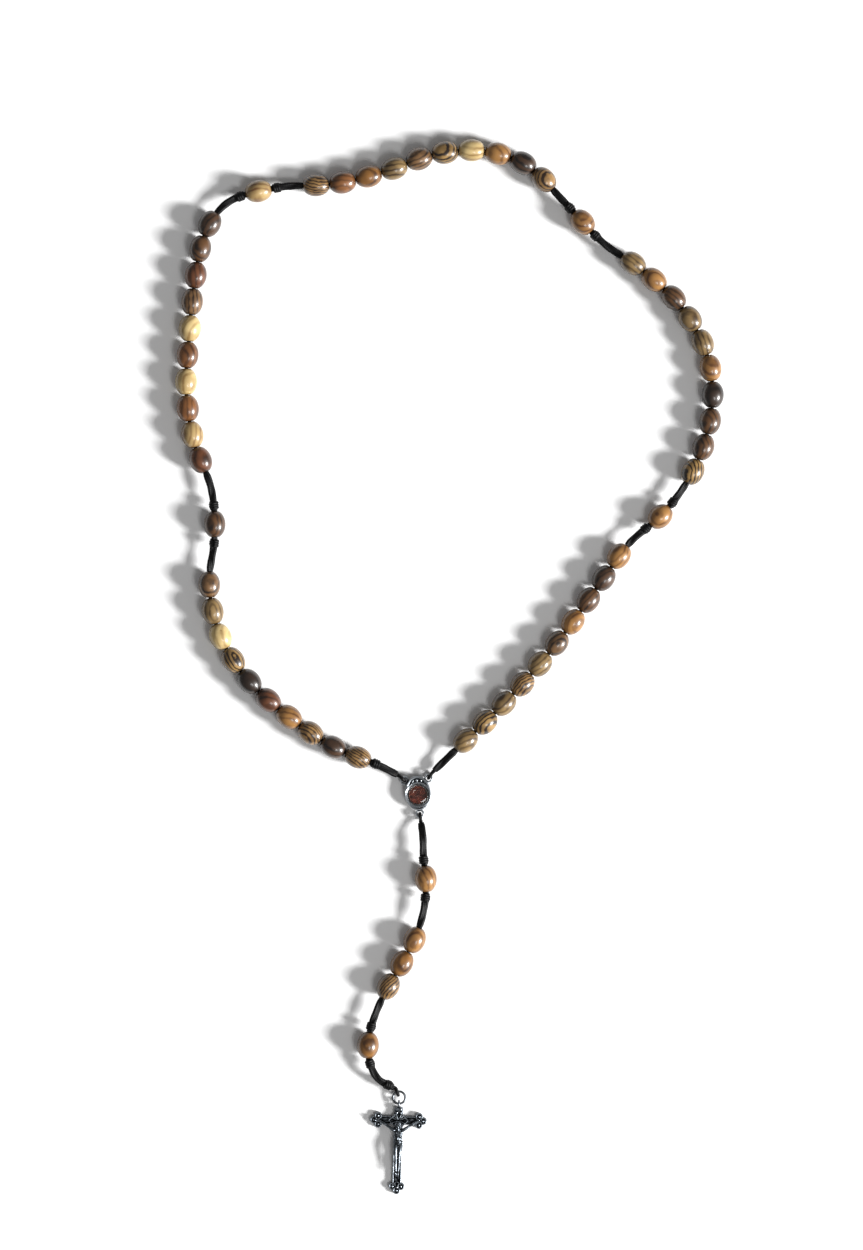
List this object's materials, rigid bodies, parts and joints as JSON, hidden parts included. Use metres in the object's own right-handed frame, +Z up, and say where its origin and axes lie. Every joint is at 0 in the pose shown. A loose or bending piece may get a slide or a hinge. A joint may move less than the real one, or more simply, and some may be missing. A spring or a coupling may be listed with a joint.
{
  "type": "rosary",
  "caption": "Prayer beads: oval wooden beads on black cord in a loop, with a round relic centrepiece, a short pendant strand and a crucifix, laid out flat.",
  "frame": {"origin": "middle of the centrepiece's flat back, on the surface the rosary lies on", "axes": "+Z up from the surface, +Y from the centrepiece towards the far end of the loop, the pendant and crucifix towards -Y"},
  "size_m": [0.1651, 0.318, 0.007],
  "materials": {
    "olive_wood": "lacquered, satin gloss, strong dark figure",
    "black_cord": "braided nylon, matt",
    "antique_silver": "antique silver plate, polished on the high parts and dark in the recesses",
    "soil": "dark red-brown, grainy",
    "clear_cover": "clear, glossy, domed"
  },
  "bodies": {
    "loop": {"centrepiece_case": "antique_silver", "soil_disc": "soil", "clear_cover": "clear_cover", "loop_cord": "black_cord", "decade_5_beads": "olive_wood"},
    "pendant_strand": {"pendant_cord": "black_cord"},
    "jump_ring": {"jump_ring": "antique_silver"},
    "crucifix": {"crucifix": "antique_silver", "corpus": "antique_silver"},
    "decade_1_bead_01": {"decade_1_bead_01": "olive_wood"},
    "decade_1_bead_02": {"decade_1_bead_02": "olive_wood"},
    "decade_1_bead_03": {"decade_1_bead_03": "olive_wood"},
    "decade_1_bead_04": {"decade_1_bead_04": "olive_wood"},
    "decade_1_bead_05": {"decade_1_bead_05": "olive_wood"},
    "decade_1_bead_06": {"decade_1_bead_06": "olive_wood"},
    "decade_1_bead_07": {"decade_1_bead_07": "olive_wood"},
    "decade_1_bead_08": {"decade_1_bead_08": "olive_wood"},
    "decade_1_bead_09": {"decade_1_bead_09": "olive_wood"},
    "decade_1_bead_10": {"decade_1_bead_10": "olive_wood"},
    "our_father_1": {"our_father_1": "olive_wood"},
    "decade_2_bead_01": {"decade_2_bead_01": "olive_wood"},
    "decade_2_bead_02": {"decade_2_bead_02": "olive_wood"},
    "decade_2_bead_03": {"decade_2_bead_03": "olive_wood"},
    "decade_2_bead_04": {"decade_2_bead_04": "olive_wood"},
    "decade_2_bead_05": {"decade_2_bead_05": "olive_wood"},
    "decade_2_bead_06": {"decade_2_bead_06": "olive_wood"},
    "decade_2_bead_07": {"decade_2_bead_07": "olive_wood"},
    "decade_2_bead_08": {"decade_2_bead_08": "olive_wood"},
    "decade_2_bead_09": {"decade_2_bead_09": "olive_wood"},
    "decade_2_bead_10": {"decade_2_bead_10": "olive_wood"},
    "our_father_2": {"our_father_2": "olive_wood"},
    "decade_3_bead_01": {"decade_3_bead_01": "olive_wood"},
    "decade_3_bead_02": {"decade_3_bead_02": "olive_wood"},
    "decade_3_bead_03": {"decade_3_bead_03": "olive_wood"},
    "decade_3_bead_04": {"decade_3_bead_04": "olive_wood"},
    "decade_3_bead_05": {"decade_3_bead_05": "olive_wood"},
    "decade_3_bead_06": {"decade_3_bead_06": "olive_wood"},
    "decade_3_bead_07": {"decade_3_bead_07": "olive_wood"},
    "decade_3_bead_08": {"decade_3_bead_08": "olive_wood"},
    "decade_3_bead_09": {"decade_3_bead_09": "olive_wood"},
    "decade_3_bead_10": {"decade_3_bead_10": "olive_wood"},
    "our_father_3": {"our_father_3": "olive_wood"},
    "decade_4_bead_01": {"decade_4_bead_01": "olive_wood"},
    "decade_4_bead_02": {"decade_4_bead_02": "olive_wood"},
    "decade_4_bead_03": {"decade_4_bead_03": "olive_wood"},
    "decade_4_bead_04": {"decade_4_bead_04": "olive_wood"},
    "decade_4_bead_05": {"decade_4_bead_05": "olive_wood"},
    "decade_4_bead_06": {"decade_4_bead_06": "olive_wood"},
    "decade_4_bead_07": {"decade_4_bead_07": "olive_wood"},
    "decade_4_bead_08": {"decade_4_bead_08": "olive_wood"},
    "decade_4_bead_09": {"decade_4_bead_09": "olive_wood"},
    "decade_4_bead_10": {"decade_4_bead_10": "olive_wood"},
    "our_father_4": {"our_father_4": "olive_wood"},
    "our_father_5": {"our_father_5": "olive_wood"},
    "hail_mary_1": {"hail_mary_1": "olive_wood"},
    "hail_mary_2": {"hail_mary_2": "olive_wood"},
    "hail_mary_3": {"hail_mary_3": "olive_wood"},
    "our_father_6": {"our_father_6": "olive_wood"}
  },
  "joints": [
    {"name": "pendant_swing", "type": "hinge", "parent": "loop", "child": "pendant_strand", "pos_m": [0.00063, -0.00617, 0.00165], "axis": [0, 0, 1], "range_deg": [-50, 50]},
    {"name": "crucifix_swing", "type": "hinge", "parent": "pendant_strand", "child": "jump_ring", "pos_m": [-0.00567, -0.09182, 0.00165], "axis": [0, 0, 1], "range_deg": [-55, 55]},
    {"name": "crucifix_lift", "type": "hinge", "parent": "jump_ring", "child": "crucifix", "pos_m": [-0.00572, -0.09367, 0.00165], "axis": [-0.9996, 0.0297, 0], "range_deg": [0, 120]},
    {"name": "decade_1_bead_01_turn", "type": "hinge", "parent": "loop", "child": "decade_1_bead_01", "pos_m": [-0.01808, 0.01086, 0.00363], "axis": [-0.9426, 0.3334, -0.0193], "continuous": true},
    {"name": "decade_1_bead_02_turn", "type": "hinge", "parent": "loop", "child": "decade_1_bead_02", "pos_m": [-0.0255, 0.01396, 0.00345], "axis": [-0.8813, 0.4726, 0], "continuous": true},
    {"name": "decade_1_bead_03_turn", "type": "hinge", "parent": "loop", "child": "decade_1_bead_03", "pos_m": [-0.03233, 0.01821, 0.00345], "axis": [-0.8211, 0.5708, 0], "continuous": true},
    {"name": "decade_1_bead_04_turn", "type": "hinge", "parent": "loop", "child": "decade_1_bead_04", "pos_m": [-0.03878, 0.02302, 0.00345], "axis": [-0.7868, 0.6172, 0], "continuous": true},
    {"name": "decade_1_bead_05_turn", "type": "hinge", "parent": "loop", "child": "decade_1_bead_05", "pos_m": [-0.04503, 0.0281, 0.00345], "axis": [-0.7548, 0.6559, 0], "continuous": true},
    {"name": "decade_1_bead_06_turn", "type": "hinge", "parent": "loop", "child": "decade_1_bead_06", "pos_m": [-0.05075, 0.03374, 0.00345], "axis": [-0.6531, 0.7572, 0], "continuous": true},
    {"name": "decade_1_bead_07_turn", "type": "hinge", "parent": "loop", "child": "decade_1_bead_07", "pos_m": [-0.05563, 0.04015, 0.00345], "axis": [-0.553, 0.8332, 0], "continuous": true},
    {"name": "decade_1_bead_08_turn", "type": "hinge", "parent": "loop", "child": "decade_1_bead_08", "pos_m": [-0.05948, 0.0472, 0.00345], "axis": [-0.388, 0.9217, 0], "continuous": true},
    {"name": "decade_1_bead_09_turn", "type": "hinge", "parent": "loop", "child": "decade_1_bead_09", "pos_m": [-0.06182, 0.05489, 0.00345], "axis": [-0.204, 0.979, 0], "continuous": true},
    {"name": "decade_1_bead_10_turn", "type": "hinge", "parent": "loop", "child": "decade_1_bead_10", "pos_m": [-0.06284, 0.06287, 0.00345], "axis": [-0.0499, 0.9988, 0], "continuous": true},
    {"name": "our_father_1_turn", "type": "hinge", "parent": "loop", "child": "our_father_1", "pos_m": [-0.0612, 0.08105, 0.00345], "axis": [-0.0051, 1, 0], "continuous": true},
    {"name": "decade_2_bead_01_turn", "type": "hinge", "parent": "loop", "child": "decade_2_bead_01", "pos_m": [-0.06546, 0.10038, 0.00345], "axis": [-0.3901, 0.9208, 0], "continuous": true},
    {"name": "decade_2_bead_02_turn", "type": "hinge", "parent": "loop", "child": "decade_2_bead_02", "pos_m": [-0.06795, 0.10802, 0.00345], "axis": [-0.2203, 0.9754, 0], "continuous": true},
    {"name": "decade_2_bead_03_turn", "type": "hinge", "parent": "loop", "child": "decade_2_bead_03", "pos_m": [-0.06932, 0.11595, 0.00345], "axis": [-0.1192, 0.9929, 0], "continuous": true},
    {"name": "decade_2_bead_04_turn", "type": "hinge", "parent": "loop", "child": "decade_2_bead_04", "pos_m": [-0.06982, 0.12398, 0.00345], "axis": [0.0057, 1, 0], "continuous": true},
    {"name": "decade_2_bead_05_turn", "type": "hinge", "parent": "loop", "child": "decade_2_bead_05", "pos_m": [-0.06936, 0.13202, 0.00345], "axis": [0.089, 0.996, 0], "continuous": true},
    {"name": "decade_2_bead_06_turn", "type": "hinge", "parent": "loop", "child": "decade_2_bead_06", "pos_m": [-0.06868, 0.14004, 0.00345], "axis": [0.0761, 0.9971, 0], "continuous": true},
    {"name": "decade_2_bead_07_turn", "type": "hinge", "parent": "loop", "child": "decade_2_bead_07", "pos_m": [-0.06799, 0.14806, 0.00345], "axis": [0.1051, 0.9945, 0], "continuous": true},
    {"name": "decade_2_bead_08_turn", "type": "hinge", "parent": "loop", "child": "decade_2_bead_08", "pos_m": [-0.0669, 0.15603, 0.00345], "axis": [0.1462, 0.9893, 0], "continuous": true},
    {"name": "decade_2_bead_09_turn", "type": "hinge", "parent": "loop", "child": "decade_2_bead_09", "pos_m": [-0.06553, 0.16396, 0.00345], "axis": [0.2229, 0.9748, 0], "continuous": true},
    {"name": "decade_2_bead_10_turn", "type": "hinge", "parent": "loop", "child": "decade_2_bead_10", "pos_m": [-0.06271, 0.17147, 0.00345], "axis": [0.4781, 0.8783, 0], "continuous": true},
    {"name": "our_father_2_turn", "type": "hinge", "parent": "loop", "child": "our_father_2", "pos_m": [-0.04803, 0.18131, 0.00345], "axis": [0.9773, 0.212, 0], "continuous": true},
    {"name": "decade_3_bead_01_turn", "type": "hinge", "parent": "loop", "child": "decade_3_bead_01", "pos_m": [-0.03067, 0.1831, 0.00345], "axis": [0.9996, 0.0291, 0], "continuous": true},
    {"name": "decade_3_bead_02_turn", "type": "hinge", "parent": "loop", "child": "decade_3_bead_02", "pos_m": [-0.02267, 0.18394, 0.00345], "axis": [0.9829, 0.1841, 0], "continuous": true},
    {"name": "decade_3_bead_03_turn", "type": "hinge", "parent": "loop", "child": "decade_3_bead_03", "pos_m": [-0.01484, 0.18578, 0.00345], "axis": [0.9649, 0.2627, 0], "continuous": true},
    {"name": "decade_3_bead_04_turn", "type": "hinge", "parent": "loop", "child": "decade_3_bead_04", "pos_m": [-0.00714, 0.18811, 0.00345], "axis": [0.9385, 0.3453, 0], "continuous": true},
    {"name": "decade_3_bead_05_turn", "type": "hinge", "parent": "loop", "child": "decade_3_bead_05", "pos_m": [0.00037, 0.19102, 0.00345], "axis": [0.9418, 0.3361, 0], "continuous": true},
    {"name": "decade_3_bead_06_turn", "type": "hinge", "parent": "loop", "child": "decade_3_bead_06", "pos_m": [0.00817, 0.19294, 0.00345], "axis": [0.9876, 0.1573, 0], "continuous": true},
    {"name": "decade_3_bead_07_turn", "type": "hinge", "parent": "loop", "child": "decade_3_bead_07", "pos_m": [0.01619, 0.19362, 0.00345], "axis": [1, -0.0049, 0], "continuous": true},
    {"name": "decade_3_bead_08_turn", "type": "hinge", "parent": "loop", "child": "decade_3_bead_08", "pos_m": [0.02415, 0.19261, 0.00345], "axis": [0.9715, -0.2369, 0], "continuous": true},
    {"name": "decade_3_bead_09_turn", "type": "hinge", "parent": "loop", "child": "decade_3_bead_09", "pos_m": [0.03167, 0.18979, 0.00345], "axis": [0.8822, -0.4709, 0], "continuous": true},
    {"name": "decade_3_bead_10_turn", "type": "hinge", "parent": "loop", "child": "decade_3_bead_10", "pos_m": [0.03796, 0.18483, 0.00345], "axis": [0.6861, -0.7276, 0], "continuous": true},
    {"name": "our_father_3_turn", "type": "hinge", "parent": "loop", "child": "our_father_3", "pos_m": [0.0496, 0.17203, 0.00345], "axis": [0.6703, -0.7421, 0], "continuous": true},
    {"name": "decade_4_bead_01_turn", "type": "hinge", "parent": "loop", "child": "decade_4_bead_01", "pos_m": [0.06475, 0.1596, 0.00345], "axis": [0.8318, -0.5551, 0], "continuous": true},
    {"name": "decade_4_bead_02_turn", "type": "hinge", "parent": "loop", "child": "decade_4_bead_02", "pos_m": [0.07111, 0.15466, 0.00345], "axis": [0.7638, -0.6455, 0], "continuous": true},
    {"name": "decade_4_bead_03_turn", "type": "hinge", "parent": "loop", "child": "decade_4_bead_03", "pos_m": [0.07701, 0.1492, 0.00345], "axis": [0.687, -0.7267, 0], "continuous": true},
    {"name": "decade_4_bead_04_turn", "type": "hinge", "parent": "loop", "child": "decade_4_bead_04", "pos_m": [0.08193, 0.14284, 0.00345], "axis": [0.5416, -0.8407, 0], "continuous": true},
    {"name": "decade_4_bead_05_turn", "type": "hinge", "parent": "loop", "child": "decade_4_bead_05", "pos_m": [0.08572, 0.13575, 0.00345], "axis": [0.3936, -0.9193, 0], "continuous": true},
    {"name": "decade_4_bead_06_turn", "type": "hinge", "parent": "loop", "child": "decade_4_bead_06", "pos_m": [0.08807, 0.12807, 0.00345], "axis": [0.1846, -0.9828, 0], "continuous": true},
    {"name": "decade_4_bead_07_turn", "type": "hinge", "parent": "loop", "child": "decade_4_bead_07", "pos_m": [0.08876, 0.12006, 0.00345], "axis": [-0.0068, -1, 0], "continuous": true},
    {"name": "decade_4_bead_08_turn", "type": "hinge", "parent": "loop", "child": "decade_4_bead_08", "pos_m": [0.08798, 0.11206, 0.00345], "axis": [-0.1868, -0.9824, 0], "continuous": true},
    {"name": "decade_4_bead_09_turn", "type": "hinge", "parent": "loop", "child": "decade_4_bead_09", "pos_m": [0.08591, 0.10429, 0.00345], "axis": [-0.3234, -0.9463, 0], "continuous": true},
    {"name": "decade_4_bead_10_turn", "type": "hinge", "parent": "loop", "child": "decade_4_bead_10", "pos_m": [0.08279, 0.09687, 0.00345], "axis": [-0.4585, -0.8887, 0], "continuous": true},
    {"name": "our_father_4_turn", "type": "hinge", "parent": "loop", "child": "our_father_4", "pos_m": [0.07295, 0.08333, 0.00345], "axis": [-0.7239, -0.6899, 0], "continuous": true},
    {"name": "our_father_5_turn", "type": "hinge", "parent": "pendant_strand", "child": "our_father_5", "pos_m": [0.00239, -0.02571, 0.00345], "axis": [0.0358, -0.9994, 0], "continuous": true},
    {"name": "hail_mary_1_turn", "type": "hinge", "parent": "pendant_strand", "child": "hail_mary_1", "pos_m": [-0.00105, -0.04413, 0.00345], "axis": [-0.4033, -0.9151, 0], "continuous": true},
    {"name": "hail_mary_2_turn", "type": "hinge", "parent": "pendant_strand", "child": "hail_mary_2", "pos_m": [-0.00484, -0.05123, 0.00345], "axis": [-0.4916, -0.8708, 0], "continuous": true},
    {"name": "hail_mary_3_turn", "type": "hinge", "parent": "pendant_strand", "child": "hail_mary_3", "pos_m": [-0.00892, -0.05817, 0.00345], "axis": [-0.4738, -0.8806, 0], "continuous": true},
    {"name": "our_father_6_turn", "type": "hinge", "parent": "pendant_strand", "child": "our_father_6", "pos_m": [-0.01501, -0.07579, 0.00345], "axis": [-0.0365, -0.9993, 0], "continuous": true}
  ]
}
